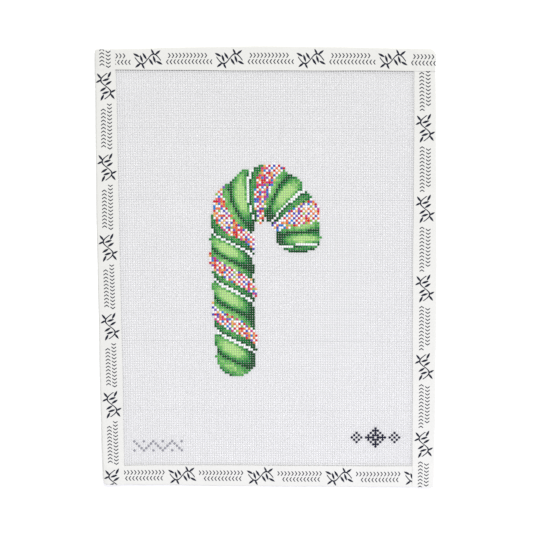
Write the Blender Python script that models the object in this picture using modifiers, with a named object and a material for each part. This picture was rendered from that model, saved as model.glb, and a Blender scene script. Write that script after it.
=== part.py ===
"""A painted needlepoint canvas, lying flat with its painted face up.

A sheet of stiff open-mesh cotton canvas is bound on its four sides with cotton tape, folded round the
edge. A candy cane is painted on the face in slanting bands, each one a thin film of paint.

Units are metres, +Z up. The origin is under the middle of the canvas, on the surface that it lies on.
+X runs across the canvas to the right, and +Y runs up it, to the hook of the cane.
"""

import functools
import math

import bmesh
import bpy
import numpy as np

MM = 0.001
INCH = 0.0254

# The mesh that shows inside the tape, counted in threads
THREADS_ACROSS = 122
THREADS_UP = 168
PITCH_ACROSS = INCH / 18.0
PITCH_UP = INCH / 18.2
HALF_WIDTH = THREADS_ACROSS * PITCH_ACROSS / 2
HALF_HEIGHT = THREADS_UP * PITCH_UP / 2

# Where the middle of that mesh lies, and how far the canvas is out of square, in mm for each mm
MESH_MIDDLE = (-0.55 * MM, -0.22 * MM)
SIDE_LEAN = 0.0082
END_LEAN = 0.0042

# Thicknesses, from the surface that the canvas lies on upwards
CANVAS_THICKNESS = 0.6 * MM
TAPE_THICKNESS = 0.4 * MM
PAINT_THICKNESS = 0.2 * MM
CLEARANCE = 0.2 * MM
JOINT_GAP = 0.3 * MM
FOLD_RADIUS = CANVAS_THICKNESS / 2 + CLEARANCE + TAPE_THICKNESS / 2
MIDDLE_HEIGHT = FOLD_RADIUS + TAPE_THICKNESS / 2

# How far the canvas reaches in under the tape
CANVAS_TUCK = 8.5 * MM

# How each corner of the sheet curls up, as its sides in x and y and a height. It starts past the flat share.
CORNER_CURLS = ((1, 1, 3.6 * MM), (-1, -1, 2.6 * MM), (-1, 1, 1.8 * MM), (1, -1, 1.4 * MM))
FLAT_SHARE = 1.3

# The candy cane's middle line: a stem that leans, half an upright ellipse to the right and a short drop.
# A distance along the hook is counted on the circle that the ellipse is stretched from.
STEM_X = -20.5 * MM
STEM_LEAN = 0.03
STEM_FOOT_Y = -62.8 * MM
STEM_LENGTH = 84.6 * MM
HOOK_RADIUS = 19.6 * MM
HOOK_STRETCH = 1.25
DROP_LENGTH = 10.7 * MM
HOOK_LENGTH = math.pi * HOOK_RADIUS
CANE_LENGTH = STEM_LENGTH + HOOK_LENGTH + DROP_LENGTH
FOOT_ROUNDING = 12.0 * MM
TIP_ROUNDING = 8.0 * MM

# Half the cane's width at its foot, where the hook starts, at the hook's top and at the tip
WIDTH_PLACES = (0.0, STEM_LENGTH, STEM_LENGTH + HOOK_LENGTH / 2, CANE_LENGTH)
HALF_WIDTHS = (12.0 * MM, 12.8 * MM, 13.1 * MM, 13.3 * MM)

# The bands that wind round the cane: dotted ones, with green ones between them. Each comes a little sooner
# after the last than that one did.
BAND_PITCH = 30.6 * MM
PITCH_LOSS = 0.95 * MM
DOTTED_WIDTH = 8.6 * MM
DOTTED_COUNT = 5
FIRST_DOTTED = 26.3 * MM

# How far a band climbs in one turn round the cane, at five distances up it
TWIST_PLACES = (0.0, 60.0 * MM, 114.0 * MM, 132.0 * MM, CANE_LENGTH)
TWIST_LEADS = (34.0 * MM, 42.0 * MM, 29.0 * MM, 12.0 * MM, -12.0 * MM)

# Colours and roughness
CANVAS_WHITE = (0.84, 0.84, 0.86)
TAPE_IVORY = (0.80, 0.79, 0.75)
CANE_GREEN = (0.07, 0.36, 0.12)
DOTTED_PINK = (0.86, 0.42, 0.36)
CLOTH_ROUGHNESS = 0.9
PAINT_ROUGHNESS = 0.6

# Grid steps
CANVAS_STEPS = (16, 22)
TAPE_LENGTH_STEPS = 26
FLAP_STEPS = 2
FOLD_STEPS = 6
BAND_STEPS = (14, 5)

# How often a band's edge is worked out again from the place that it came to
EDGE_ROUNDS = 8


def remove_objects():
    """Empties the scene of objects."""
    for old in list(bpy.data.objects):
        bpy.data.objects.remove(old)


def make_material(name, colour, roughness):
    """A plain surface of one colour."""
    material = bpy.data.materials.new(name)
    material.use_nodes = True
    shader = material.node_tree.nodes["Principled BSDF"]
    shader.inputs["Base Color"].default_value = (*colour, 1.0)
    shader.inputs["Roughness"].default_value = roughness
    return material


def sheet_piece(name, steps, place, thickness, material, collection):
    """A sheet of one thickness, whose middle surface is place(u, v) for u and v from 0 to 1."""
    mesh = bpy.data.meshes.new(name)
    grid = bmesh.new()
    bmesh.ops.create_grid(grid, x_segments=steps[0], y_segments=steps[1], size=0.5)
    for vertex in grid.verts:
        vertex.co = place(vertex.co.x + 0.5, vertex.co.y + 0.5)
    grid.to_mesh(mesh)
    grid.free()
    mesh.materials.append(material)
    piece = bpy.data.objects.new(name, mesh)
    collection.objects.link(piece)
    wall = piece.modifiers.new("thickness", "SOLIDIFY")
    wall.thickness = thickness
    wall.offset = 0.0
    mesh.shade_smooth()
    mesh.set_sharp_from_angle(angle=math.radians(50))
    return piece


def lift(x, y):
    """How far the sheet has curled up at a point. It lies flat inside a diamond and rises past it."""
    height = 0.0
    for side_x, side_y, curl in CORNER_CURLS:
        towards = side_x * x / HALF_WIDTH + side_y * y / HALF_HEIGHT - FLAT_SHARE
        height += curl * max(0.0, towards) ** 2
    return height


def on_sheet(x, y, above_middle):
    """The point over a place on the square sheet, a height above its middle surface, once it leans."""
    leaning_x = MESH_MIDDLE[0] + x - SIDE_LEAN * y
    leaning_y = MESH_MIDDLE[1] + y - END_LEAN * x
    return (leaning_x, leaning_y, MIDDLE_HEIGHT + lift(x, y) + above_middle)


def canvas_point(u, v):
    """A point of the canvas, which reaches in under the tape on all sides."""
    x = (2 * u - 1) * (HALF_WIDTH + CANVAS_TUCK)
    y = (2 * v - 1) * (HALF_HEIGHT + CANVAS_TUCK)
    return on_sheet(x, y, 0.0)


def bowed(width, bow, slope):
    """How wide a tape lies at a share along it: its width at the ends, a bow in the middle and a taper."""
    return lambda share: width + bow * (1 - (2 * share - 1) ** 2) + slope * (share - 0.5)


# Each tape's axis, its side, where it starts and ends, its width, and the radius that rounds each end
TAPES = {
    "tape_left": {
        "along": "y",
        "side": -1,
        "start": -HALF_HEIGHT - 11.5 * MM,
        "end": HALF_HEIGHT + 11.6 * MM,
        "width": bowed(12.0 * MM, 1.15 * MM, -1.2 * MM),
        "round": (1.6 * MM, 1.0 * MM),
    },
    "tape_top": {
        "along": "x",
        "side": 1,
        "start": -HALF_WIDTH + JOINT_GAP,
        "end": HALF_WIDTH + 12.0 * MM,
        "width": bowed(12.05 * MM, 1.7 * MM, 0.7 * MM),
        "round": (0.0, 3.2 * MM),
    },
    "tape_right": {
        "along": "y",
        "side": 1,
        "start": -HALF_HEIGHT - 12.6 * MM,
        "end": HALF_HEIGHT - JOINT_GAP,
        "width": bowed(12.45 * MM, 1.4 * MM, -0.95 * MM),
        "round": (1.0 * MM, 0.0),
    },
    "tape_bottom": {
        "along": "x",
        "side": -1,
        "start": -HALF_WIDTH + JOINT_GAP,
        "end": HALF_WIDTH - JOINT_GAP,
        "width": bowed(12.25 * MM, 0.75 * MM, 1.1 * MM),
        "round": (0.0, 0.0),
    },
}


def corner_cut(distance, radius):
    """How much a rounded corner takes off the width, at a distance from the tape's end."""
    if distance >= radius:
        return 0.0
    short_by = radius - max(distance, 0.0)
    return radius - math.sqrt(radius ** 2 - short_by ** 2)


def tape_point(tape, u, v):
    """A point of a folded tape: under the canvas, round its edge in a half circle, and back over it."""
    start, end = tape["start"], tape["end"]
    share = (1 - math.cos(math.pi * u)) / 2
    along = start + (end - start) * share
    width = tape["width"](share)
    width -= corner_cut(along - start, tape["round"][0]) + corner_cut(end - along, tape["round"][1])
    fold_at = width - MIDDLE_HEIGHT
    step = round(v * (2 * FLAP_STEPS + FOLD_STEPS))
    past_flap = min(max(step - FLAP_STEPS, 0), FOLD_STEPS)
    turn = math.pi * past_flap / FOLD_STEPS
    if 0 < past_flap < FOLD_STEPS:
        across = fold_at + FOLD_RADIUS * math.sin(turn)
    else:
        from_inner_edge = step if past_flap == 0 else 2 * FLAP_STEPS + FOLD_STEPS - step
        across = fold_at * from_inner_edge / FLAP_STEPS
    above = -FOLD_RADIUS * math.cos(turn)
    if tape["along"] == "y":
        return on_sheet(tape["side"] * (HALF_WIDTH + across), along, above)
    return on_sheet(along, tape["side"] * (HALF_HEIGHT + across), above)


def cane_point(distance, offset):
    """The place on the canvas at a distance up the cane's middle line and an offset to its right."""
    hook_x = STEM_X + HOOK_RADIUS
    hook_y = STEM_FOOT_Y + STEM_LENGTH
    if distance < STEM_LENGTH:
        below_hook = STEM_LENGTH - distance
        return STEM_X + STEM_LEAN * below_hook + offset, hook_y - below_hook
    if distance < STEM_LENGTH + HOOK_LENGTH:
        turn = (distance - STEM_LENGTH) / HOOK_RADIUS
        radius = HOOK_RADIUS - offset
        return hook_x - radius * math.cos(turn), hook_y + HOOK_STRETCH * radius * math.sin(turn)
    return hook_x + HOOK_RADIUS - offset, hook_y - (distance - STEM_LENGTH - HOOK_LENGTH)


def winding_edge(start):
    """A band's edge: it slips back down the cane from left to right, as a line wound round a rod does."""
    def edge(side):
        distance = start
        for _ in range(EDGE_ROUNDS):
            lead = float(np.interp(distance, TWIST_PLACES, TWIST_LEADS))
            distance = start - lead / (2 * math.pi) * math.asin(side)
        return distance

    return edge


def rounding(side, depth):
    """How far a rounded end is cut back at one side of its middle."""
    return depth * (1 - math.sqrt(1 - side ** 2))


def foot_edge(side):
    """The cane's rounded foot."""
    return rounding(side, FOOT_ROUNDING)


def tip_edge(side):
    """The cane's rounded tip."""
    return CANE_LENGTH - rounding(side, TIP_ROUNDING)


def cane_bands():
    """Each band's name, its lower and upper edges, and whether it is a dotted one."""
    bands = []
    lower, name = foot_edge, "cane_foot"
    for number in range(DOTTED_COUNT):
        start = FIRST_DOTTED + number * BAND_PITCH - number ** 2 * PITCH_LOSS
        end = start + DOTTED_WIDTH
        bands.append((name, lower, winding_edge(start - JOINT_GAP), False))
        bands.append((f"cane_dots_{number + 1}", winding_edge(start), winding_edge(end), True))
        lower, name = winding_edge(end + JOINT_GAP), f"cane_strand_{number + 1}"
    bands.append(("cane_tip", lower, tip_edge, False))
    return bands


def band_point(lower, upper, u, v):
    """A point of the paint between two edges: u goes across the cane and v up it."""
    side = math.sin(math.pi * (u - 0.5))
    distance = lower(side) + (upper(side) - lower(side)) * v
    x, y = cane_point(distance, side * float(np.interp(distance, WIDTH_PLACES, HALF_WIDTHS)))
    return on_sheet(x, y, CANVAS_THICKNESS / 2 + CLEARANCE + PAINT_THICKNESS / 2)


def build_canvas(collection):
    """The sheet of mesh, as one thin solid."""
    cloth = make_material("canvas", CANVAS_WHITE, CLOTH_ROUGHNESS)
    sheet_piece("canvas", CANVAS_STEPS, canvas_point, CANVAS_THICKNESS, cloth, collection)


def build_tapes(collection):
    """The four lengths of folded tape."""
    cotton = make_material("tape", TAPE_IVORY, CLOTH_ROUGHNESS)
    steps = (TAPE_LENGTH_STEPS, 2 * FLAP_STEPS + FOLD_STEPS)
    for name, tape in TAPES.items():
        place = functools.partial(tape_point, tape)
        sheet_piece(name, steps, place, TAPE_THICKNESS, cotton, collection)


def build_cane(collection):
    """The bands of paint that make the candy cane."""
    green = make_material("green_paint", CANE_GREEN, PAINT_ROUGHNESS)
    dotted = make_material("dotted_paint", DOTTED_PINK, PAINT_ROUGHNESS)
    for name, lower, upper, is_dotted in cane_bands():
        place = functools.partial(band_point, lower, upper)
        sheet_piece(name, BAND_STEPS, place, PAINT_THICKNESS, dotted if is_dotted else green, collection)


def main():
    remove_objects()
    collection = bpy.data.collections.new("needlepoint_canvas")
    bpy.context.scene.collection.children.link(collection)
    build_canvas(collection)
    build_tapes(collection)
    build_cane(collection)


main()
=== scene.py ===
"""A painted needlepoint canvas, dressed: woven cotton threads, paint on them stitch by stitch, and
printed cotton tape folded round the edge.

Lengths are metres. +X runs to the right across the painted face, +Y up it and +Z out of it. The sheet
is worked out flat and square first, and sheet_point then leans it, curls its corners and lays it in its
place.
"""

import math

import bpy
import numpy as np
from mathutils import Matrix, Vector


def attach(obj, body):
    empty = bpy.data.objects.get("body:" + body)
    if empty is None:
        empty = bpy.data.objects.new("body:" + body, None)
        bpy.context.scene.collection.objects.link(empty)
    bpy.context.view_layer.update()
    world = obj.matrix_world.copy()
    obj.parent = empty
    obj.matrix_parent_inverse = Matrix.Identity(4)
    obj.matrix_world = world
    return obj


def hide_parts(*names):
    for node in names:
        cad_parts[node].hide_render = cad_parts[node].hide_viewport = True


bl_info = {
    "name": "Needlepoint canvas",
    "version": (1, 0, 0),
    "blender": (4, 5, 0),
    "location": "3D View > Sidebar > Needlepoint",
    "description": "Makes a tape-bound needlepoint canvas with a candy cane painted on it",
    "category": "Mesh",
}

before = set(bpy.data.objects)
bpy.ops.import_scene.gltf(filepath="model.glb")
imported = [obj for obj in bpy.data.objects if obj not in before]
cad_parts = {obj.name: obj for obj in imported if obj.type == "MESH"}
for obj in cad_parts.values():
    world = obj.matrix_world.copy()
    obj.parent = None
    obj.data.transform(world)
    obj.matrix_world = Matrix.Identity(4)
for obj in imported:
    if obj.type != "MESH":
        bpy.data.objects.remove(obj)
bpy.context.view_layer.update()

MM = 0.001
INCH = 0.0254

# The mesh inside the tape, in threads, and how many more threads the tape hides on each side
THREADS_ACROSS = 122
THREADS_UP = 168
HIDDEN_THREADS = 6
PITCH_ACROSS = INCH / 18.0
PITCH_UP = INCH / 18.2
HALF_WIDTH = THREADS_ACROSS * PITCH_ACROSS / 2
HALF_HEIGHT = THREADS_UP * PITCH_UP / 2
COLUMNS = THREADS_ACROSS + 2 * HIDDEN_THREADS
ROWS = THREADS_UP + 2 * HIDDEN_THREADS
BANDS = 6

# How unevenly the threads lie and how much their widths differ, as standard deviations
THREAD_STRAY = 0.022 * MM
WIDTH_SPREAD = 0.05
WEAVE_SEED = 11

# Where the sheet lies: the middle of the mesh, how far out of square it is, and its middle height
MESH_MIDDLE = (-0.55 * MM, -0.22 * MM)
SIDE_LEAN = 0.0082
END_LEAN = 0.0042
MIDDLE_HEIGHT = 0.9 * MM

# How each corner curls up, as its sides in x and y and a height. It starts past the flat share.
CORNER_CURLS = ((1, 1, 3.6 * MM), (-1, -1, 2.6 * MM), (-1, 1, 1.8 * MM), (1, -1, 1.4 * MM))
FLAT_SHARE = 1.3

# The candy cane's middle line, as on the solids: a stem that leans, half an upright ellipse and a drop
STEM_X = -20.5 * MM
STEM_LEAN = 0.03
STEM_FOOT_Y = -62.8 * MM
STEM_LENGTH = 84.6 * MM
HOOK_RADIUS = 19.6 * MM
HOOK_STRETCH = 1.25
DROP_LENGTH = 10.7 * MM
HOOK_LENGTH = math.pi * HOOK_RADIUS
CANE_LENGTH = STEM_LENGTH + HOOK_LENGTH + DROP_LENGTH
FOOT_ROUNDING = 12.0 * MM
TIP_ROUNDING = 8.0 * MM

# Half the cane's width at its foot, where the hook starts, at the hook's top and at the tip
WIDTH_PLACES = (0.0, STEM_LENGTH, STEM_LENGTH + HOOK_LENGTH / 2, CANE_LENGTH)
HALF_WIDTHS = (12.0 * MM, 12.8 * MM, 13.1 * MM, 13.3 * MM)

# The dotted bands that wind round it, each a little sooner after the last than that one was, and how far
# they climb in one turn at five distances up the cane
BAND_PITCH = 30.6 * MM
PITCH_LOSS = 0.95 * MM
DOTTED_WIDTH = 8.6 * MM
DOTTED_COUNT = 5
FIRST_DOTTED = 26.3 * MM
TWIST_PLACES = (0.0, 60.0 * MM, 114.0 * MM, 132.0 * MM, CANE_LENGTH)
TWIST_LEADS = (34.0 * MM, 42.0 * MM, 29.0 * MM, 12.0 * MM, -12.0 * MM)

# The outline between two bands, as a share of the half width, and how much further out a band's middle is
EDGE_BETWEEN = 0.9
EDGE_SWELL = 0.1

# The green strands from one dotted band to the next: where each starts and ends as shares of the way, and
# how light it is at its lower edge and at its crown. The last is only met where no more dots follow.
STRANDS = (
    (-0.2, 0.18, 0.2, 0.9),
    (0.18, 0.72, -0.3, 1.25),
    (0.81, 1.0, 0.1, 0.6),
    (1.0, 1.45, -0.1, 1.15),
)
STRAND_CROWN = 0.62
WHITE_LINE = (0.72, 0.81)

# How a strand's light falls off: above its crown, to both sides of a lit line, and in a rim on the inner
# side. Sides are shares of the half width.
UPPER_FALL = 0.7
LIT_SIDE = -0.22
SIDE_FALL = 0.7
SIDE_POWER = 1.8
RIM_START = 0.62
RIM_FALL = 0.5

# The light at which each of the four greens is pure, and how much it differs from stitch to stitch
GREEN_LIGHTS = (0.1, 0.42, 0.74, 1.04)
MOTTLE = 0.13

# How often there is a dot on every other crossing of a dotted band and on those between, and how many
# times a dot is drawn again if a neighbour has its colour
DOT_SHARES = (0.96, 0.32)
REPEAT_DRAWS = 4
CHART_SEED = 5

# What a crossing carries
BARE, GREEN, DOT, WHITE = range(4)

# How much of a stitch's colour, and of an ornament's, soaks into the thread under it
SOAKED_SHARE = 0.45
ORNAMENT_SOAKED = 0.4

# How far a stitch's paint reaches along a thread, in threads, and how much its width differs
SLEEVE_REACH = 0.49
SLEEVE_WIDTHS = (0.93, 1.07)

# Where the two ornaments are, in threads from the lower left corner, hidden threads included
GREY_CORNER = (10, 12)
NAVY_MIDDLE = (112, 18)

# The fold at a tape's outer edge: its radius, and how far its middle lies under the sheet's
FOLD_RADIUS = 0.61 * MM
FOLD_DROP = 0.15 * MM

# How much of a tape's end is tucked under the next one, the slope and the gap where one lies over another
TUCK = 3.2 * MM
LAP_SLOPE = 1.2 * MM
LAP_GAP = 0.01 * MM

# How far apart a tape's rings are, and the stretch at each end with rings that are closer, and their number
RING_STEP = 1.0 * MM
CORNER_LENGTH = 3.4 * MM
CORNER_RINGS = 17

# The tape's print in millimetres along and across it. Ears of wheat: middle across, start, end and slant.
EARS = ((1.8, -0.3, 26.85, 0.7), (-1.8, 2.7, 25.7, -0.7))
EAR_PITCH = 2.1
EAR_HEIGHT = 1.4

# The scroll: its middle, and its stem's wave length, height and reach. Leaves of one half: place ahead of
# the middle and above the stem's axis, turn in degrees, half length and half width.
SCROLL_MIDDLE = 37.0
SCROLL_WAVE = 13.5
SCROLL_RISE = 2.8
SCROLL_REACH = 7.4
LEAVES = (
    (1.8, -1.6, -58, 2.3, 0.66),
    (3.7, -0.2, -72, 2.3, 0.66),
    (5.7, 3.6, 38, 2.1, 0.62),
    (6.5, -2.2, -28, 2.2, 0.66),
    (2.8, 4.1, 118, 1.8, 0.56),
)

# How heavy the stem's and the ears' lines are beside the print's stroke, and the share of a distance up or
# along that lies across such a slanting line
STEM_WEIGHT, EAR_WEIGHT = 1.4, 1.15
STEM_SLANT, EAR_SLANT = 0.72, 0.8

# The depth of the cotton's grain and of the tape's weave, and the pitch of that weave
GRAIN_DEPTH = 0.03 * MM
TAPE_WEAVE_DEPTH = 0.05 * MM
TAPE_WEAVE_PITCH = 0.62 * MM

# The stage: the floor's reach, shade and glow, the sky, and each lamp's place, size, power and colour
FLOOR_REACH = 3.0
FLOOR_SHADE = 0.84
FLOOR_GLOW = 0.24
SKY_STRENGTH = 0.6
LAMPS = {
    "key": ((0.8, 1.9, 2.4), 1.4, 65.0, (1.0, 1.0, 0.98)),
    "cool": ((0.15, -0.42, 0.42), 0.4, 1.3, (0.79, 0.77, 1.0)),
}

# The camera looks down on the canvas, tilted a little
CAMERA_AIM = (-0.64 * MM, 2.75 * MM, 1.0 * MM)
CAMERA_DISTANCE = 0.888
CAMERA_TILT = math.radians(8.0)
CAMERA_LENS = 102.1

SIDES = 6
RING = np.arange(SIDES) * math.tau / SIDES


def from_srgb(red, green, blue):
    """The linear colour of three screen values from 0 to 255."""
    values = np.array([red, green, blue]) / 255
    bright = ((values + 0.055) / 1.055) ** 2.4
    return tuple(float(v) for v in np.where(values <= 0.04045, values / 12.92, bright))


def length(name, description, millimetres):
    """A length that can be changed, with its default in millimetres."""
    return bpy.props.FloatProperty(
        name=name, description=description, default=millimetres * MM, unit="LENGTH")


def tone(name, description, red, green, blue):
    """A colour that can be changed, with its default as three screen values."""
    return bpy.props.FloatVectorProperty(
        name=name, description=description, default=from_srgb(red, green, blue), subtype="COLOR")


class CanvasSizes(bpy.types.PropertyGroup):
    """The sizes of the woven mesh and of the paint on it."""

    thread_width: length("Thread width", "Width of a bare thread", 0.58)
    thread_height: length("Thread height", "Height of a bare thread, pressed flat", 0.4)
    weave_rise: length("Weave rise", "How far a thread rises and falls", 0.15)
    wander: length("Wander", "How far the mesh strays from straight", 0.16)
    painted_width: length("Painted width", "Width of a thread with paint on it", 0.9)
    paint_build: length("Paint build", "How far the paint stands over a thread", 0.06)


class TapeSizes(bpy.types.PropertyGroup):
    """The sizes of the folded tape and of its print."""

    thickness: length("Thickness", "Thickness of the tape", 0.28)
    ripple: length("Ripple", "How far the tape's faces ripple", 0.1)
    repeat: length("Print repeat", "Distance from one scroll to the next", 47.0)
    stroke: length("Print stroke", "Width of the print's lines", 0.48)


class CanvasColours(bpy.types.PropertyGroup):
    """The colours of the cotton, the paints and the print."""

    thread: tone("Thread", "Sized cotton", 220, 220, 220)
    tape: tone("Tape", "Ivory cotton tape", 220, 220, 215)
    ink: tone("Print", "The tape's print", 28, 32, 48)
    dark_green: tone("Dark green", "Shade on the cane", 0, 70, 24)
    mid_green: tone("Mid green", "Body of the cane", 0, 124, 50)
    light_green: tone("Light green", "Light on the cane", 98, 182, 84)
    yellow_green: tone("Yellow green", "Highlight on the cane", 180, 222, 138)
    white: tone("White paint", "White between the dots and strands", 243, 243, 243)
    navy: tone("Navy", "The ornament by the lower right corner", 22, 24, 50)
    grey: tone("Grey", "The ornament by the lower left corner", 150, 150, 158)


# The dots' colours and how often each one comes
DOT_COLOURS = (
    (from_srgb(204, 26, 48), 0.25),
    (from_srgb(232, 114, 66), 0.25),
    (from_srgb(230, 176, 96), 0.18),
    (from_srgb(126, 80, 180), 0.08),
    (from_srgb(44, 128, 208), 0.08),
    (from_srgb(206, 46, 132), 0.08),
    (from_srgb(74, 70, 180), 0.04),
    (from_srgb(142, 188, 72), 0.04),
)


def smooth_step(value):
    """0 below 0, 1 above 1 and an S-curve between them."""
    share = np.clip(value, 0.0, 1.0)
    return share * share * (3 - 2 * share)


def lift(x, y):
    """The curl of the corners: the square of how far a point lies past a diamond, times a height."""
    height = np.zeros(np.broadcast(x, y).shape)
    for side_x, side_y, curl in CORNER_CURLS:
        towards = side_x * x / HALF_WIDTH + side_y * y / HALF_HEIGHT - FLAT_SHARE
        height += curl * np.maximum(0.0, towards) ** 2
    return height


def sheet_point(x, y, above):
    """The points over places on the square sheet, at heights above its middle surface, once it leans and
    curls: a share of y comes off x, a share of x off y, and the curl is added to the height."""
    leaning_x = MESH_MIDDLE[0] + x - SIDE_LEAN * y
    leaning_y = MESH_MIDDLE[1] + y - END_LEAN * x
    return np.stack(np.broadcast_arrays(leaning_x, leaning_y, MIDDLE_HEIGHT + lift(x, y) + above), -1)


def new_mesh(name, points, faces, material, face_colours=None, maps=()):
    """A mesh object at the origin, from an array of points and an array of four-cornered faces."""
    mesh = bpy.data.meshes.new(name)
    points = np.ascontiguousarray(points.reshape(-1, 3), dtype=np.float32)
    faces = np.ascontiguousarray(faces.reshape(-1, 4), dtype=np.int32)
    mesh.vertices.add(len(points))
    mesh.vertices.foreach_set("co", points.ravel())
    mesh.loops.add(faces.size)
    mesh.loops.foreach_set("vertex_index", faces.ravel())
    mesh.polygons.add(len(faces))
    mesh.polygons.foreach_set("loop_start", np.arange(0, faces.size, 4, dtype=np.int32))
    mesh.update(calc_edges=True)
    mesh.shade_smooth()
    for map_name, places in maps:
        layer = mesh.uv_layers.new(name=map_name, do_init=False)
        layer.uv.foreach_set("vector", places.reshape(-1, 2)[faces.ravel()].astype(np.float32).ravel())
    if face_colours is not None:
        rows = np.ones((len(faces), 4, 4), dtype=np.float32)
        rows[:, :, :3] = face_colours[:, None, :]
        layer = mesh.color_attributes.new("paint", "FLOAT_COLOR", "CORNER")
        layer.data.foreach_set("color", rows.ravel())
    mesh.materials.append(material)
    piece = bpy.data.objects.new(name, mesh)
    bpy.context.scene.collection.objects.link(piece)
    return piece


def tubes(middles, across, half_width, half_height):
    """Closed six-sided tubes. Each ring is its middle plus the cosine of the angle times half the width
    across the path and the sine times half the height up; each end is shut by two faces.

    middles is (tubes, rings, 3) and across the unit direction to the path's right. Returns the points, the
    faces, and for each face its tube and the ring before it.
    """
    count, rings = middles.shape[:2]
    wide = np.broadcast_to(half_width, (count, rings))[:, :, None, None]
    high = np.broadcast_to(half_height, (count, rings))[:, :, None, None]
    turn = np.stack([np.cos(RING), np.sin(RING)], -1)
    ring = wide * turn[:, :1] * np.asarray(across) + high * turn[:, 1:] * np.array([0.0, 0.0, 1.0])
    points = middles[:, :, None, :] + ring

    tube, step, side = np.meshgrid(np.arange(count), np.arange(rings - 1), np.arange(SIDES), indexing="ij")
    here = (tube * rings + step) * SIDES
    after = (side + 1) % SIDES
    walls = np.stack([here + side, here + SIDES + side, here + SIDES + after, here + after], -1)
    start = np.arange(count) * rings * SIDES
    end = start + (rings - 1) * SIDES
    halves = np.array([[0, 1, 2, 3], [0, 3, 4, 5]])
    lids = np.concatenate([start[:, None, None] + halves, end[:, None, None] + halves[:, ::-1]], 1)
    faces = np.concatenate([walls.reshape(-1, 4), lids.reshape(-1, 4)])
    which = np.concatenate([tube.ravel(), np.repeat(np.arange(count), 4)])
    ring_before = np.concatenate([step.ravel(), np.tile([0, 0, rings - 2, rings - 2], count)])
    return points, faces, which, ring_before


def joined(first, second):
    """The points and the faces of two sets of tubes as one."""
    points = np.concatenate([first[0].reshape(-1, 3), second[0].reshape(-1, 3)])
    return points, np.concatenate([first[1], second[1] + first[0].size // 3])


class Weave:
    """Where every thread of the mesh runs. Columns run up the sheet and rows across it, and a place is
    counted in threads from the lower left corner, hidden threads included."""

    def __init__(self, sizes):
        self.sizes = sizes
        rng = np.random.default_rng(WEAVE_SEED)
        self.column_stray = rng.normal(0, THREAD_STRAY, COLUMNS + 1)
        self.row_stray = rng.normal(0, THREAD_STRAY, ROWS + 1)
        self.column_width = 1 + rng.normal(0, WIDTH_SPREAD, COLUMNS)
        self.row_width = 1 + rng.normal(0, WIDTH_SPREAD, ROWS)

    def flat(self, column, row):
        """The place on the square sheet: the count times the pitch, plus a slow wander that is a sum of
        sines in both directions."""
        x, y = square_place(column, row)
        sway_x = 0.6 * np.sin(y / (31 * MM) + 0.7) * np.cos(x / (47 * MM)) + 0.4 * np.sin(y / (13 * MM))
        sway_y = 0.6 * np.sin(x / (37 * MM) + 1.9) * np.cos(y / (53 * MM)) + 0.4 * np.sin(x / (11 * MM))
        return x + self.sizes.wander * sway_x, y + self.sizes.wander * sway_y

    def rise(self, columns, rows, along):
        """1 where a column goes over and -1 where it goes under, in turn, and 0 between crossings."""
        at_crossing = np.abs(along - np.round(along)) < 0.25
        return np.where((np.round(columns + rows) % 2) == 0, 1.0, -1.0) * at_crossing

    def column_middles(self, columns, rows):
        """Points along columns: the place, each thread's own stray and its rise."""
        x, y = self.flat(columns, rows)
        stray = self.column_stray[np.round(columns).astype(int)]
        return sheet_point(x + stray, y, self.sizes.weave_rise * self.rise(columns, rows, rows))

    def row_middles(self, columns, rows):
        """Points along rows: under where the column is over, and the other way round."""
        x, y = self.flat(columns, rows)
        stray = self.row_stray[np.round(rows).astype(int)]
        return sheet_point(x, y + stray, -self.sizes.weave_rise * self.rise(columns, rows, columns))


def square_place(column, row):
    """The place on the square sheet of a count in threads: the steps from its middle times the pitch."""
    return (column - (COLUMNS - 1) / 2) * PITCH_ACROSS, (row - (ROWS - 1) / 2) * PITCH_UP


def cane_places(x, y):
    """How far up the cane's middle line each place is, and how far off it towards the inner side.

    On the stem and the drop these are the height and the distance across. In the hook they are the angle
    about its middle and the radius there, once the half ellipse is pressed down to a half circle.
    """
    hook_x, hook_y = STEM_X + HOOK_RADIUS, STEM_FOOT_Y + STEM_LENGTH
    in_hook, in_drop = y >= hook_y, (y < hook_y) & (x > hook_x)
    above_hook = (y - hook_y) / HOOK_STRETCH
    turn = np.arctan2(above_hook, hook_x - x)
    distance = np.where(in_hook, STEM_LENGTH + HOOK_RADIUS * turn, y - STEM_FOOT_Y)
    distance = np.where(in_drop, STEM_LENGTH + HOOK_LENGTH + hook_y - y, distance)
    from_stem = x - STEM_X - STEM_LEAN * (hook_y - y)
    offset = np.where(in_hook, HOOK_RADIUS - np.hypot(x - hook_x, above_hook), from_stem)
    return distance, np.where(in_drop, hook_x + HOOK_RADIUS - x, offset)


def band_places(wound):
    """Where wound distances lie among the bands: whether in dots, how far past the last band's start, and
    the share of the way from the end of its dots to the next ones."""
    number = np.arange(-1, DOTTED_COUNT + 1)
    starts = FIRST_DOTTED + number * BAND_PITCH - number ** 2 * PITCH_LOSS
    starts[0] = -np.inf
    band = np.searchsorted(starts, wound, side="right") - 1
    first = FIRST_DOTTED - BAND_PITCH - PITCH_LOSS
    place = wound - np.where(band == 0, first, starts[band])
    in_dots = (place < DOTTED_WIDTH) & (band > 0) & (band <= DOTTED_COUNT)
    gaps = BAND_PITCH - (2 * number + 1) * PITCH_LOSS - DOTTED_WIDTH
    return in_dots, place, (place - DOTTED_WIDTH) / gaps[band]


def cane_edge(in_dots, place, past):
    """The outline as a share of the half width: half a sine wave over the dots and over each strand."""
    edge = np.where(in_dots, 1.0 + EDGE_SWELL * np.sin(math.pi * place / DOTTED_WIDTH), EDGE_BETWEEN)
    for start, end, *_ in STRANDS:
        swell = EDGE_SWELL * np.sin(math.pi * np.clip((past - start) / (end - start), 0, 1))
        edge = np.where(in_dots, edge, np.maximum(edge, EDGE_BETWEEN + swell))
    return edge


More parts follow.
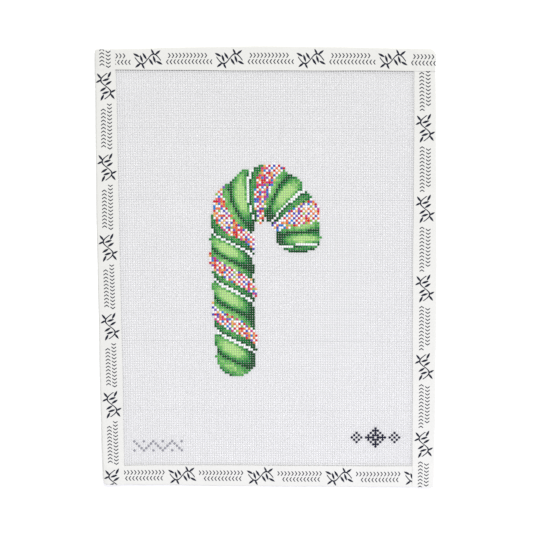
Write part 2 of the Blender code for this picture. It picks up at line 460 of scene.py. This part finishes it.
def strand_light(past, side):
    """The light on the strands, and none between them: it falls as a parabola from the crown to both edges,
    as a power of the distance from the lit line, and evenly in the rim."""
    across = 1 - SIDE_FALL * np.abs(side - LIT_SIDE) ** SIDE_POWER
    rim = RIM_FALL * np.maximum(side - RIM_START, 0)
    light = np.full(past.shape, -np.inf)
    for start, end, low, high in STRANDS:
        share = (past - start) / (end - start)
        above = UPPER_FALL * (share - STRAND_CROWN) / (1 - STRAND_CROWN)
        fall = np.where(share < STRAND_CROWN, 1 - share / STRAND_CROWN, above)
        here = (share >= 0) & (share < 1)
        light = np.where(here, low + (high - low) * (1 - fall ** 2) * across - rim, light)
    return light


def cane_chart(colours):
    """The painted stitches: for every crossing what it carries and its colour.

    A crossing's distance up the cane plus the winding of a line round a rod gives its place in the bands,
    and that place picks dots, a white line or a strand, with a blend of the two greens nearest its light.
    The cane's ends are rounded like a rod's. Dots are drawn by chance.
    """
    rng = np.random.default_rng(CHART_SEED)
    column, row = np.meshgrid(np.arange(COLUMNS), np.arange(ROWS), indexing="ij")
    distance, offset = cane_places(*square_place(column, row))
    half_width = np.interp(distance, WIDTH_PLACES, HALF_WIDTHS)
    side = np.clip(offset / half_width, -1, 1)
    wound = distance + np.interp(distance, TWIST_PLACES, TWIST_LEADS) / math.tau * np.arcsin(side)
    in_dots, place, past = band_places(wound)
    end_cut = 1 - np.sqrt(1 - side ** 2)
    inside = np.abs(offset) <= half_width * cane_edge(in_dots, place, past)
    inside &= distance >= FOOT_ROUNDING * end_cut
    inside &= distance <= CANE_LENGTH - TIP_ROUNDING * end_cut

    kind = np.full(side.shape, BARE)
    colour = np.ones(side.shape + (3,))
    light = strand_light(past, side) + rng.uniform(-MOTTLE, MOTTLE, side.shape)
    greens = (colours.dark_green, colours.mid_green, colours.light_green, colours.yellow_green)
    shades = [np.interp(light, GREEN_LIGHTS, [green[part] for green in greens]) for part in range(3)]
    green = inside & ~in_dots
    kind[green] = GREEN
    colour[green] = np.stack(shades, -1)[green]
    kind[green & (past >= WHITE_LINE[0]) & (past < WHITE_LINE[1])] = WHITE

    dotted = inside & in_dots
    even = (column + row) % 2 == 0
    filled = dotted & (rng.uniform(size=side.shape) < np.where(even, *DOT_SHARES))
    kind[dotted] = WHITE
    kind[filled] = DOT
    colour[kind == WHITE] = tuple(colours.white)
    palette = np.array([c for c, _ in DOT_COLOURS])
    weights = np.array([w for _, w in DOT_COLOURS])
    picked = rng.choice(len(palette), size=side.shape, p=weights / weights.sum())
    for _ in range(REPEAT_DRAWS):
        again = rng.choice(len(palette), size=side.shape, p=weights / weights.sum())
        same = sum(picked == np.roll(picked, step, (0, 1)) for step in ((1, 0), (0, 1), (1, 1), (1, -1)))
        picked = np.where(same, again, picked)
    colour[filled] = palette[picked][filled]
    return kind, colour


def ornament_cells():
    """The two small ornaments by the lower corners, as lists of crossings: a grey zigzag between dots on
    the left, and a navy snowflake between two lozenges on the right. Each shape is a rule on the steps
    from its middle."""
    along = np.arange(21)
    zigzag = np.stack([along, np.abs(np.mod(along, 8) - 4)], -1)
    dots = np.array([[0, 0], [4, 4], [8, 0], [12, 4], [16, 0], [20, 4]])
    grey = np.concatenate([zigzag, dots]) + np.array(GREY_CORNER)

    steps = np.arange(-4, 5)
    across, up = (grid.ravel() for grid in np.meshgrid(steps, steps, indexing="ij"))
    far, near = np.maximum(np.abs(across), np.abs(up)), np.minimum(np.abs(across), np.abs(up))
    flake = (near == 0) | ((near == far) & (far <= 2)) | ((far == 3) & (near == 1))
    flake &= far > 0
    lozenge = (near + far == 2) | (far == 0)
    middle = np.array(NAVY_MIDDLE)
    navy = [np.stack([across[flake], up[flake]], -1) + middle]
    for step in (-8, 8):
        navy.append(np.stack([across[lozenge] + step, up[lozenge]], -1) + middle)
    return np.unique(grey, axis=0), np.unique(np.concatenate(navy), axis=0)


def link(tree, start, end):
    """Joins two sockets."""
    tree.links.new(start, end)


def fill(node, values):
    """Sets the values of a node's named sockets."""
    for label, value in values.items():
        node.inputs[label].default_value = value


def new_group(name, inputs, outputs):
    """A node group with named sockets. Returns its tree and the nodes by which values enter and leave."""
    tree = bpy.data.node_groups.new(name, "ShaderNodeTree")
    for in_out, sockets in (("INPUT", inputs), ("OUTPUT", outputs)):
        for label, kind in sockets.items():
            tree.interface.new_socket(label, in_out=in_out, socket_type="NodeSocket" + kind)
    return tree, tree.nodes.new("NodeGroupInput"), tree.nodes.new("NodeGroupOutput")


class Formula:
    """Writes arithmetic as math nodes. An operand is a number or a socket."""

    def __init__(self, tree):
        self.tree = tree

    def node(self, operation, *operands, clamp=False):
        """The result of one math node."""
        made = self.tree.nodes.new("ShaderNodeMath")
        made.operation = operation
        made.use_clamp = clamp
        for socket, operand in zip(made.inputs, operands):
            if isinstance(operand, (int, float)):
                socket.default_value = operand
            else:
                link(self.tree, operand, socket)
        return made.outputs[0]

    def add(self, a, b):
        return self.node("ADD", a, b)

    def less(self, a, b):
        return self.node("SUBTRACT", a, b)

    def times(self, a, b):
        return self.node("MULTIPLY", a, b)

    def size(self, a):
        return self.node("ABSOLUTE", a)

    def larger(self, a, b):
        return self.node("MAXIMUM", a, b)

    def inside(self, distance, edge):
        """1 where a distance in millimetres is less than an edge and 0 past it, over a tenth of one."""
        return self.node("MULTIPLY_ADD", self.less(edge, distance), 10.0, 0.5, clamp=True)


def grain_group():
    """Cotton grain: a fine noise and a broad one tint the colour, and the fine one gives a height."""
    if "cotton_grain" in bpy.data.node_groups:
        return bpy.data.node_groups["cotton_grain"]
    tree, entry, leave = new_group(
        "cotton_grain",
        {"Colour": "Color", "Fineness": "Float", "Tint": "Float", "Patches": "Float"},
        {"Colour": "Color", "Height": "Float"})
    f = Formula(tree)
    place = tree.nodes.new("ShaderNodeTexCoord")
    fine = tree.nodes.new("ShaderNodeTexNoise")
    fill(fine, {"Detail": 3})
    link(tree, entry.outputs["Fineness"], fine.inputs["Scale"])
    broad = tree.nodes.new("ShaderNodeTexNoise")
    fill(broad, {"Scale": 45, "Detail": 4})

    def swing(noise, amount):
        """1 plus the noise's distance from its middle, times an amount."""
        link(tree, place.outputs["Object"], noise.inputs["Vector"])
        return f.node("MULTIPLY_ADD", f.less(noise.outputs["Fac"], 0.5), entry.outputs[amount], 1.0)

    tinted = tree.nodes.new("ShaderNodeVectorMath")
    tinted.operation = "SCALE"
    link(tree, entry.outputs["Colour"], tinted.inputs[0])
    link(tree, f.times(swing(fine, "Tint"), swing(broad, "Patches")), tinted.inputs["Scale"])
    link(tree, tinted.outputs[0], leave.inputs["Colour"])
    link(tree, fine.outputs["Fac"], leave.inputs["Height"])
    return tree


def tape_weave_group():
    """Plain tape weave on the piece's own map: the product of two sine waves that cross."""
    tree, entry, leave = new_group("tape_weave", {"Map": "Vector", "Pitch": "Float"}, {"Height": "Float"})
    f = Formula(tree)
    split = tree.nodes.new("ShaderNodeSeparateXYZ")
    link(tree, entry.outputs["Map"], split.inputs[0])
    turns = f.node("DIVIDE", math.tau, entry.outputs["Pitch"])
    waves = [f.node("SINE", f.times(split.outputs[axis], turns)) for axis in "XY"]
    link(tree, f.node("MULTIPLY_ADD", f.times(*waves), 0.5, 0.5), leave.inputs["Height"])
    return tree


def tape_print_group():
    """The tape's print: two rows like ears of wheat, then a leafy scroll, over and over.

    The map runs along the tape and across it from the middle, in metres. Ears: strokes where the distance
    along, plus a slant for each step from the row's middle, is near half a pitch. Scroll: a stem that is a
    sine wave, and pointed leaves whose width falls as a parabola, each with a partner half a turn round.
    """
    tree, entry, leave = new_group(
        "tape_print", {"Map": "Vector", "Repeat": "Float", "Stroke": "Float"}, {"Ink": "Float"})
    f = Formula(tree)
    split = tree.nodes.new("ShaderNodeSeparateXYZ")
    link(tree, entry.outputs["Map"], split.inputs[0])
    along = f.times(f.node("FLOORED_MODULO", split.outputs["X"], entry.outputs["Repeat"]), 1 / MM)
    across = f.times(split.outputs["Y"], 1 / MM)
    half_stroke = f.times(entry.outputs["Stroke"], 0.5 / MM)

    forward = f.less(along, SCROLL_MIDDLE)
    ahead = f.size(forward)
    wave = f.times(f.node("SINE", f.times(forward, math.tau / SCROLL_WAVE)), SCROLL_RISE)
    off_stem = f.times(f.size(f.less(across, wave)), STEM_SLANT)
    past_end = f.times(f.less(ahead, SCROLL_REACH), 4.0)
    ink = f.inside(f.larger(off_stem, past_end), f.times(half_stroke, STEM_WEIGHT))
    above = f.times(across, f.node("SIGN", forward))
    for x, y, turn, half_length, half_width in LEAVES:
        cos, sin = math.cos(math.radians(turn)), math.sin(math.radians(turn))
        dx, dy = f.less(ahead, x), f.less(above, y)
        down = f.size(f.add(f.times(dx, cos), f.times(dy, sin)))
        out = f.size(f.less(f.times(dy, cos), f.times(dx, sin)))
        bulge = f.less(1.0, f.node("POWER", f.times(down, 1 / half_length), 2.0))
        ink = f.larger(ink, f.inside(out, f.times(bulge, half_width)))
    for middle, start, end, slant in EARS:
        rise = f.size(f.less(across, middle))
        step = f.node("FLOORED_MODULO", f.add(along, f.times(rise, slant)), EAR_PITCH)
        off_stroke = f.times(f.size(f.less(step, EAR_PITCH / 2)), EAR_SLANT)
        stroke = f.inside(off_stroke, f.times(half_stroke, EAR_WEIGHT))
        within = f.inside(f.size(f.less(along, (start + end) / 2)), (end - start) / 2)
        ink = f.larger(ink, f.times(f.times(stroke, f.inside(rise, EAR_HEIGHT)), within))
    link(tree, ink, leave.inputs["Ink"])
    return tree


def cotton_material(name, colour, roughness, fineness, tint, patches, attribute=None):
    """Cotton or paint on it: a colour, or the mesh's own colours, with grain in the colour and the bump."""
    material = bpy.data.materials.new(name)
    material.use_nodes = True
    tree = material.node_tree
    shader = tree.nodes["Principled BSDF"]
    fill(shader, {"Roughness": roughness, "Specular IOR Level": 0.2})
    grain = tree.nodes.new("ShaderNodeGroup")
    grain.node_tree = grain_group()
    fill(grain, {"Colour": (*colour, 1.0), "Fineness": fineness, "Tint": tint, "Patches": patches})
    if attribute:
        own = tree.nodes.new("ShaderNodeAttribute")
        own.attribute_name = attribute
        link(tree, own.outputs["Color"], grain.inputs["Colour"])
    relief = tree.nodes.new("ShaderNodeBump")
    fill(relief, {"Distance": GRAIN_DEPTH})
    link(tree, grain.outputs["Height"], relief.inputs["Height"])
    link(tree, grain.outputs["Colour"], shader.inputs["Base Color"])
    link(tree, relief.outputs["Normal"], shader.inputs["Normal"])
    return material


def tape_material(sizes, colours):
    """The tape's cotton, with its weave over the grain's bump and its print over the grain's colour."""
    material = cotton_material("tape_cotton", colours.tape, 0.85, fineness=1300, tint=0.13, patches=0.05)
    tree = material.node_tree
    shader = tree.nodes["Principled BSDF"]
    plain = shader.inputs["Base Color"].links[0].from_socket
    grainy = shader.inputs["Normal"].links[0].from_socket
    own_map = tree.nodes.new("ShaderNodeUVMap")
    own_map.uv_map = "tape_lengths"
    weave, marks = tree.nodes.new("ShaderNodeGroup"), tree.nodes.new("ShaderNodeGroup")
    weave.node_tree, marks.node_tree = tape_weave_group(), tape_print_group()
    fill(weave, {"Pitch": TAPE_WEAVE_PITCH})
    fill(marks, {"Repeat": sizes.repeat, "Stroke": sizes.stroke})
    for node in (weave, marks):
        link(tree, own_map.outputs["UV"], node.inputs["Map"])
    inked = tree.nodes.new("ShaderNodeMix")
    inked.data_type = "RGBA"
    fill(inked, {"B": (*colours.ink, 1.0)})
    link(tree, marks.outputs["Ink"], inked.inputs["Factor"])
    link(tree, plain, inked.inputs["A"])
    link(tree, inked.outputs["Result"], shader.inputs["Base Color"])
    woven = tree.nodes.new("ShaderNodeBump")
    fill(woven, {"Strength": 0.6, "Distance": TAPE_WEAVE_DEPTH})
    link(tree, weave.outputs["Height"], woven.inputs["Height"])
    link(tree, grainy, woven.inputs["Normal"])
    link(tree, woven.outputs["Normal"], shader.inputs["Normal"])
    return material


def seen_from_above(points):
    """A map for baking, as seen from above: the place in the points' box, from 0 to 1 each way."""
    low, high = points.min(0)[:2], points.max(0)[:2]
    return [("OFBake", 0.01 + 0.98 * (points[:, :2] - low) / (high - low))]


class CANVAS_OT_mesh(bpy.types.Operator):
    """Makes the woven mesh: columns and rows of flattened threads that pass over and under each other."""

    bl_idname = "canvas.mesh"
    bl_label = "Woven mesh"

    def execute(self, context):
        sizes, colours = context.scene.canvas_sizes, context.scene.canvas_colours
        weave = Weave(sizes)
        kind, colour = cane_chart(colours)
        grey, navy = ornament_cells()
        bare = np.array(tuple(colours.thread))
        soaked = np.broadcast_to(bare, colour.shape).copy()
        painted = (kind == GREEN) | (kind == DOT)
        soaked[painted] = (1 - SOAKED_SHARE) * bare + SOAKED_SHARE * colour[painted]
        for cells, paint in ((grey, colours.grey), (navy, colours.navy)):
            paint = np.array(tuple(paint))
            soaked[cells[:, 0], cells[:, 1]] = (1 - ORNAMENT_SOAKED) * bare + ORNAMENT_SOAKED * paint
        material = cotton_material(
            "canvas_cotton", bare, 0.82, fineness=5200, tint=0.1, patches=0.05, attribute="paint")
        rows_each = ROWS // BANDS
        for band in range(BANDS):
            first = band * rows_each
            piece = self.band(weave, soaked, first, rows_each, f"canvas_band_{band + 1}", material)
            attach(piece, "root")
            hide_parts("canvas")
        return {"FINISHED"}

    def band(self, weave, soaked, first, count, name, material):
        """A band of rows, with its stretch of every column. Each thread has a ring at each crossing and one
        halfway to the next, and a face takes the colour of the crossing that it is nearest."""
        half_width, half_height = weave.sizes.thread_width / 2, weave.sizes.thread_height / 2
        along = first - 0.5 + np.arange(2 * count + 1) / 2
        column, row = np.meshgrid(np.arange(COLUMNS), along, indexing="ij")
        up = tubes(
            weave.column_middles(column, row), (1, 0, 0),
            half_width * weave.column_width[:, None], half_height)
        rows = np.arange(first, first + count)
        column, row = np.meshgrid(-0.5 + np.arange(2 * COLUMNS + 1) / 2, rows)
        over = tubes(
            weave.row_middles(column, row), (0, -1, 0),
            half_width * weave.row_width[rows][:, None], half_height)
        points, faces = joined(up, over)
        colours = [soaked[up[2], first + up[3] // 2], soaked[over[3] // 2, first + over[2]]]
        return new_mesh(name, points, faces, material, np.concatenate(colours), seen_from_above(points))


class CANVAS_OT_paint(bpy.types.Operator):
    """Paints the stitches: every painted crossing gets a sleeve of paint on each of its two threads."""

    bl_idname = "canvas.paint"
    bl_label = "Painted stitches"

    def execute(self, context):
        sizes, colours = context.scene.canvas_sizes, context.scene.canvas_colours
        weave = Weave(sizes)
        kind, colour = cane_chart(colours)
        grey, navy = ornament_cells()
        greens = self.film("green_paint_film", colours.mid_green, tint=0.22, patches=0.1)
        dots = self.film("dotted_paint_film", colours.ink, tint=0.16, patches=0.06)
        marks = self.film("ornament_paint_film", colours.navy, tint=0.2, patches=0.1)
        nodes = sorted(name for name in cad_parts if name.startswith("cane_"))
        pieces = []

        chosen = kind == GREEN
        piece = self.stitches(weave, np.argwhere(chosen), colour[chosen], "cane_greens", greens)
        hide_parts(*[name for name in nodes if "dots" not in name])
        pieces.append((piece, "green_paint"))
        chosen = kind >= DOT
        piece = self.stitches(weave, np.argwhere(chosen), colour[chosen], "cane_dots", dots)
        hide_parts(*[name for name in nodes if "dots" in name])
        pieces.append((piece, "dotted_paint"))
        for side, cells, paint in (("left", grey, colours.grey), ("right", navy, colours.navy)):
            paints = np.broadcast_to(np.array(tuple(paint)), (len(cells), 3))
            piece = self.stitches(weave, cells, paints, f"corner_ornament_{side}", marks)
            pieces.append((piece, "dotted_paint"))
        for piece, slot in pieces:
            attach(piece, "root")
        return {"FINISHED"}

    def film(self, name, colour, tint, patches):
        """Paint on the threads: smoother than cotton, with a coarser grain."""
        return cotton_material(name, colour, 0.5, 3600, tint, patches, attribute="paint")

    def stitches(self, weave, cells, colours, name, material):
        """Three rings on each thread of a crossing, just short of halfway to the next one on both sides."""
        sizes = weave.sizes
        rng = np.random.default_rng(len(cells))
        reach = np.array([-SLEEVE_REACH, 0.0, SLEEVE_REACH])
        column, row = cells[:, :1].astype(float), cells[:, 1:].astype(float)
        up_middles = weave.column_middles(column + 0 * reach, row + reach)
        over_middles = weave.row_middles(column + reach, row + 0 * reach)
        for middles in (up_middles, over_middles):
            middles[:, :, 2] += sizes.paint_build
        half_height = (sizes.thread_height + sizes.paint_build) / 2
        half_width = sizes.painted_width / 2 * rng.uniform(*SLEEVE_WIDTHS, (len(cells), 1))
        up = tubes(up_middles, (1, 0, 0), half_width, half_height)
        over = tubes(over_middles, (0, -1, 0), half_width, half_height)
        points, faces = joined(up, over)
        tones = np.concatenate([colours[up[2]], colours[over[2]]])
        return new_mesh(name, points, faces, material, tones, seen_from_above(points))


class Tape:
    """One length of tape, folded round an edge of the sheet.

    A place on it is a distance along and a distance across, from 0 at its inner edge on top, over the fold
    at the outer edge and back to its inner edge underneath.
    """

    def __init__(
            self, name, axis, side, sizes, seed, ends, width, rounds, laps, tucks, under_flap, print_start):
        self.name, self.axis, self.side, self.sizes = name, axis, side, sizes
        self.start, self.end = ends
        self.width, self.bow, self.slope = width
        self.rounds, self.laps, self.tucks = rounds, laps, tucks
        self.under_flap, self.print_start = under_flap, print_start
        self.phase = np.random.default_rng(seed).uniform(0, math.tau, 8)

    def straight_width(self, along):
        """The width at the ends, a bow in the middle and a taper, plus two slow waves."""
        share = (along - self.start) / (self.end - self.start)
        wide = self.width + self.bow * (1 - (2 * share - 1) ** 2) + self.slope * (share - 0.5)
        return wide + 0.06 * MM * np.sin(along / (7.3 * MM) + self.phase[0]) \
            + 0.09 * MM * np.sin(along / (17 * MM) + self.phase[1])

    def visible_width(self, along):
        """The straight width less what each rounded corner takes off, which is a quarter of a circle."""
        wide = self.straight_width(along)
        for distance, radius in zip((along - self.start, self.end - along), self.rounds):
            if radius > 0:
                left = np.clip(radius - distance, 0, radius)
                wide = wide - (radius - np.sqrt(radius ** 2 - left ** 2))
        return wide

    def inner_stray(self, along):
        """How far the inner edge strays over the mesh: two slow waves."""
        return 0.12 * MM * np.sin(along / (23 * MM) + self.phase[2]) \
            + 0.06 * MM * np.sin(along / (8.1 * MM) + self.phase[3])

    def raised(self, along, reaches):
        """How far the tape is raised where another one lies under it, as a smooth step at each end."""
        height = 0.0
        for distance, reach in zip((along - self.start, self.end - along), reaches):
            if reach > 0:
                height = height + smooth_step((reach - distance) / LAP_SLOPE + 0.5)
        return height * (self.sizes.thickness + LAP_GAP)

    def middle(self, along, share):
        """The middle surface. share runs 0 to 1 from the inner edge on top to the fold, 1 to 2 round it in a
        half circle, and 2 to 3 back underneath. Waves along the tape ripple its top."""
        fold_at = self.visible_width(along) - FOLD_RADIUS - self.sizes.thickness / 2
        inner = self.inner_stray(along)
        on_top, under = np.clip(1 - share, 0, 1), np.clip(share - 2, 0, 1)
        turn = np.clip(share - 1, 0, 1) * math.pi
        across = fold_at * (1 - on_top - under) + inner * on_top + (inner + self.under_flap) * under
        across = across + FOLD_RADIUS * np.sin(turn)
        broad = np.sin(along / (9.7 * MM) + self.phase[4]) * (0.35 + 0.65 * on_top)
        fine = np.sin(along / (4.3 * MM) + self.phase[5]) * on_top
        ripple = self.sizes.ripple * np.abs(broad + 0.5 * fine)
        above = FOLD_RADIUS * np.cos(turn) - FOLD_DROP + ripple * smooth_step(on_top * 6)
        above = above + self.raised(along, self.laps) * smooth_step(on_top * 9)
        above = above + self.raised(along, self.tucks) * smooth_step(under * 9)
        return self.place(along, across), above

    def place(self, along, across):
        """The place on the square sheet at a distance along the tape and out from the mesh's edge."""
        if self.axis == "y":
            return self.side * (HALF_WIDTH + across), along
        return along, self.side * (HALF_HEIGHT + across)


def tape_set(sizes):
    """The four tapes, by their ends along the side, and their width, bow and taper. A lap is how much of an
    end lies over the tape that it meets and a tuck how much is under it. The under flap is how far the flap
    underneath stops short of the one on top."""
    half_w, half_h = HALF_WIDTH, HALF_HEIGHT
    return (
        Tape("tape_left", "y", -1, sizes, seed=1, ends=(-half_h - 11.5 * MM, half_h + 11.6 * MM),
             width=(12.0 * MM, 1.15 * MM, -1.2 * MM), rounds=(1.6 * MM, 1.0 * MM),
             laps=(11.5 * MM, 11.6 * MM), tucks=(0, 0), under_flap=0.8 * MM, print_start=97.8 * MM),
        Tape("tape_top", "x", 1, sizes, seed=2, ends=(-half_w - TUCK, half_w + 12.0 * MM),
             width=(12.05 * MM, 1.7 * MM, 0.7 * MM), rounds=(0, 3.2 * MM),
             laps=(0, 12.0 * MM), tucks=(2 * TUCK, 0), under_flap=-0.9 * MM, print_start=16.6 * MM),
        Tape("tape_right", "y", 1, sizes, seed=3, ends=(-half_h - 12.6 * MM, half_h + TUCK),
             width=(12.45 * MM, 1.4 * MM, -0.95 * MM), rounds=(1.0 * MM, 0),
             laps=(12.6 * MM, 0), tucks=(0, 2 * TUCK), under_flap=0.6 * MM, print_start=93.6 * MM),
        Tape("tape_bottom", "x", -1, sizes, seed=4, ends=(-half_w - TUCK, half_w + TUCK),
             width=(12.25 * MM, 0.75 * MM, 1.1 * MM), rounds=(0, 0),
             laps=(0, 0), tucks=(2 * TUCK, 2 * TUCK), under_flap=0.7 * MM, print_start=41.5 * MM),
    )


def closed_sheet(middles, thickness):
    """A closed sheet round a grid of middle points: each point moves half the thickness both ways along the
    grid's normal, and a rim joins the two faces. Returns the points, (2, n, m, 3), and the faces."""
    along = np.gradient(middles, axis=0)
    across = np.gradient(middles, axis=1)
    normal = np.cross(along, across)
    normal /= np.maximum(np.linalg.norm(normal, axis=-1, keepdims=True), 1e-12)
    points = np.stack([middles + normal * thickness / 2, middles - normal * thickness / 2])
    n, m = middles.shape[:2]
    number = np.arange(2 * n * m).reshape(2, n, m)

    def grid(sheet):
        return np.stack([sheet[:-1, :-1], sheet[1:, :-1], sheet[1:, 1:], sheet[:-1, 1:]], -1).reshape(-1, 4)

    front, back = number
    rim = np.concatenate([front[:, 0], front[-1, 1:], front[-2::-1, -1], front[0, -2:0:-1]])
    rim_back = np.concatenate([back[:, 0], back[-1, 1:], back[-2::-1, -1], back[0, -2:0:-1]])
    edge = np.stack([rim, rim_back, np.roll(rim_back, -1), np.roll(rim, -1)], -1)
    return points, np.concatenate([grid(front), grid(back)[:, ::-1], edge])


class CANVAS_OT_tapes(bpy.types.Operator):
    """Makes the four lengths of folded cotton tape."""

    bl_idname = "canvas.tapes"
    bl_label = "Folded tapes"

    def execute(self, context):
        sizes, colours = context.scene.canvas_tape, context.scene.canvas_colours
        cotton = tape_material(sizes, colours)
        share = np.concatenate([np.linspace(0, 1, 15), np.linspace(1, 2, 11)[1:], np.linspace(2, 3, 9)[1:]])
        for tape in tape_set(sizes):
            steps = round((tape.end - tape.start) / RING_STEP)
            near_end = np.linspace(0, CORNER_LENGTH, CORNER_RINGS, endpoint=False)
            rings = np.linspace(tape.start + CORNER_LENGTH, tape.end - CORNER_LENGTH, steps)
            rings = np.concatenate([tape.start + near_end, rings, (tape.end - near_end)[::-1]])
            if (tape.axis == "y") == (tape.side > 0):
                rings = rings[::-1]
            along, across = np.meshgrid(rings, share, indexing="ij")
            (x, y), above = tape.middle(along, across)
            middles = sheet_point(x, y, above)
            points, faces = closed_sheet(middles, sizes.thickness)
            runs = np.zeros(along.shape)
            runs[:, 1:] = np.cumsum(np.linalg.norm(np.diff(middles, axis=1), axis=2), axis=1)
            run = runs[len(rings) // 2]
            forward = tape.side if tape.axis == "y" else -tape.side
            from_middle = tape.straight_width(along) / 2 - runs
            outer_face = np.stack([forward * along + tape.print_start, from_middle], -1)
            inner_face = outer_face + np.array([0.0, 1.0])
            maps = [("tape_lengths", np.stack([outer_face, inner_face]))]
            piece = new_mesh(f"bound_{tape.name}", points, faces, cotton, maps=maps)
            self.add_bake_map(piece, faces, len(rings), run / run[-1])
            piece.data.set_sharp_from_angle(angle=math.radians(60))
            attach(piece, "root")
            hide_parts(tape.name)
        return {"FINISHED"}

    def add_bake_map(self, piece, faces, rings, run, columns=3):
        """Lays the long tape out as a few columns side by side: its outer face wide, its inner face narrow,
        and its rim as a last thin column, with the two ends beside the two long edges."""
        wide, narrow, thin = 0.27, 0.045, 0.05
        across = len(run)
        each = -(-(rings - 1) // columns)
        number = faces.reshape(-1, 4)
        inner, ring, step = number // (rings * across), number // across % rings, number % across
        rim = (inner.min(1) != inner.max(1))[:, None]
        is_end = (ring.min(1) == ring.max(1))[:, None]
        column = np.clip(ring.min(1) // each, 0, columns - 1)[:, None]
        outer_x = column * wide + 0.004 + (wide - 0.008) * run[step]
        inner_x = columns * wide + column * narrow + 0.003 + (narrow - 0.006) * run[step]
        rim_x = columns * (wide + narrow) + 0.01
        rim_x = rim_x + (thin - 0.02) * np.where(is_end, inner * 0.2, 0.3 + 0.3 * inner)
        rim_y = np.where(is_end, 0.01 + 0.98 * run[step], 0.01 + 0.98 * ring / (rings - 1))
        x = np.where(rim, rim_x, np.where(inner == 0, outer_x, inner_x))
        y = np.where(rim, rim_y, 0.01 + 0.98 * (ring - column * each) / each)
        layer = piece.data.uv_layers.new(name="OFBake", do_init=False)
        layer.uv.foreach_set("vector", np.stack([x, y], -1).astype(np.float32).ravel())


class CANVAS_OT_stage(bpy.types.Operator):
    """Makes the pale floor, the soft lights and the camera over the canvas."""

    bl_idname = "canvas.stage"
    bl_label = "Stage"

    def execute(self, context):
        scene = context.scene
        floor_mesh = bpy.data.meshes.new("floor")
        corners = [(x * FLOOR_REACH, y * FLOOR_REACH, 0) for x, y in ((-1, -1), (1, -1), (1, 1), (-1, 1))]
        floor_mesh.from_pydata(corners, [], [(0, 1, 2, 3)])
        floor = bpy.data.objects.new("floor", floor_mesh)
        scene.collection.objects.link(floor)
        pale = bpy.data.materials.new("pale_floor")
        pale.use_nodes = True
        shader = pale.node_tree.nodes["Principled BSDF"]
        fill(shader, {"Base Color": (FLOOR_SHADE, FLOOR_SHADE, FLOOR_SHADE, 1), "Roughness": 0.9})
        fill(shader, {"Emission Color": (1, 1, 1, 1), "Emission Strength": FLOOR_GLOW})
        floor_mesh.materials.append(pale)

        world = bpy.data.worlds.new("studio")
        world.use_nodes = True
        fill(world.node_tree.nodes["Background"], {"Color": (1, 1, 1, 1), "Strength": SKY_STRENGTH})
        scene.world = world
        for name, (place, size, power, colour) in LAMPS.items():
            self.lamp(name, place, size, power, colour)

        camera_data = bpy.data.cameras.new("camera")
        camera_data.lens = CAMERA_LENS
        camera_data.sensor_width = 36.0
        camera = bpy.data.objects.new("camera", camera_data)
        scene.collection.objects.link(camera)
        back = Vector((0.0, math.sin(CAMERA_TILT), math.cos(CAMERA_TILT)))
        camera.location = Vector(CAMERA_AIM) + CAMERA_DISTANCE * back
        camera.rotation_euler = (-CAMERA_TILT, 0.0, 0.0)
        scene.camera = camera
        scene.view_settings.view_transform = "Standard"
        return {"FINISHED"}

    def lamp(self, name, place, size, power, colour):
        """A square area light that faces the canvas."""
        data = bpy.data.lights.new(name, "AREA")
        data.size, data.energy, data.color = size, power, colour
        lamp = bpy.data.objects.new(name, data)
        lamp.location = place
        lamp.rotation_euler = (-Vector(place)).to_track_quat("-Z", "Y").to_euler()
        bpy.context.scene.collection.objects.link(lamp)


class CANVAS_PT_sidebar(bpy.types.Panel):
    """Lists the pieces of the canvas and their sizes."""

    bl_label = "Needlepoint canvas"
    bl_idname = "CANVAS_PT_sidebar"
    bl_space_type = "VIEW_3D"
    bl_region_type = "UI"
    bl_category = "Needlepoint"

    def draw(self, context):
        for step in STEPS:
            self.layout.operator(step.bl_idname)
        for group in (context.scene.canvas_sizes, context.scene.canvas_tape, context.scene.canvas_colours):
            for name in group.bl_rna.properties.keys():
                if name not in ("rna_type", "name"):
                    self.layout.prop(group, name)


STEPS = (CANVAS_OT_mesh, CANVAS_OT_paint, CANVAS_OT_tapes, CANVAS_OT_stage)
GROUPS = (CanvasSizes, TapeSizes, CanvasColours)


def register():
    for kind in GROUPS + STEPS + (CANVAS_PT_sidebar,):
        bpy.utils.register_class(kind)
    bpy.types.Scene.canvas_sizes = bpy.props.PointerProperty(type=CanvasSizes)
    bpy.types.Scene.canvas_tape = bpy.props.PointerProperty(type=TapeSizes)
    bpy.types.Scene.canvas_colours = bpy.props.PointerProperty(type=CanvasColours)


def unregister():
    del bpy.types.Scene.canvas_colours
    del bpy.types.Scene.canvas_tape
    del bpy.types.Scene.canvas_sizes
    for kind in reversed(GROUPS + STEPS + (CANVAS_PT_sidebar,)):
        bpy.utils.unregister_class(kind)


def main():
    register()
    bpy.ops.canvas.mesh()
    bpy.ops.canvas.paint()
    bpy.ops.canvas.tapes()
    bpy.ops.canvas.stage()


if __name__ == "__main__":
    main()
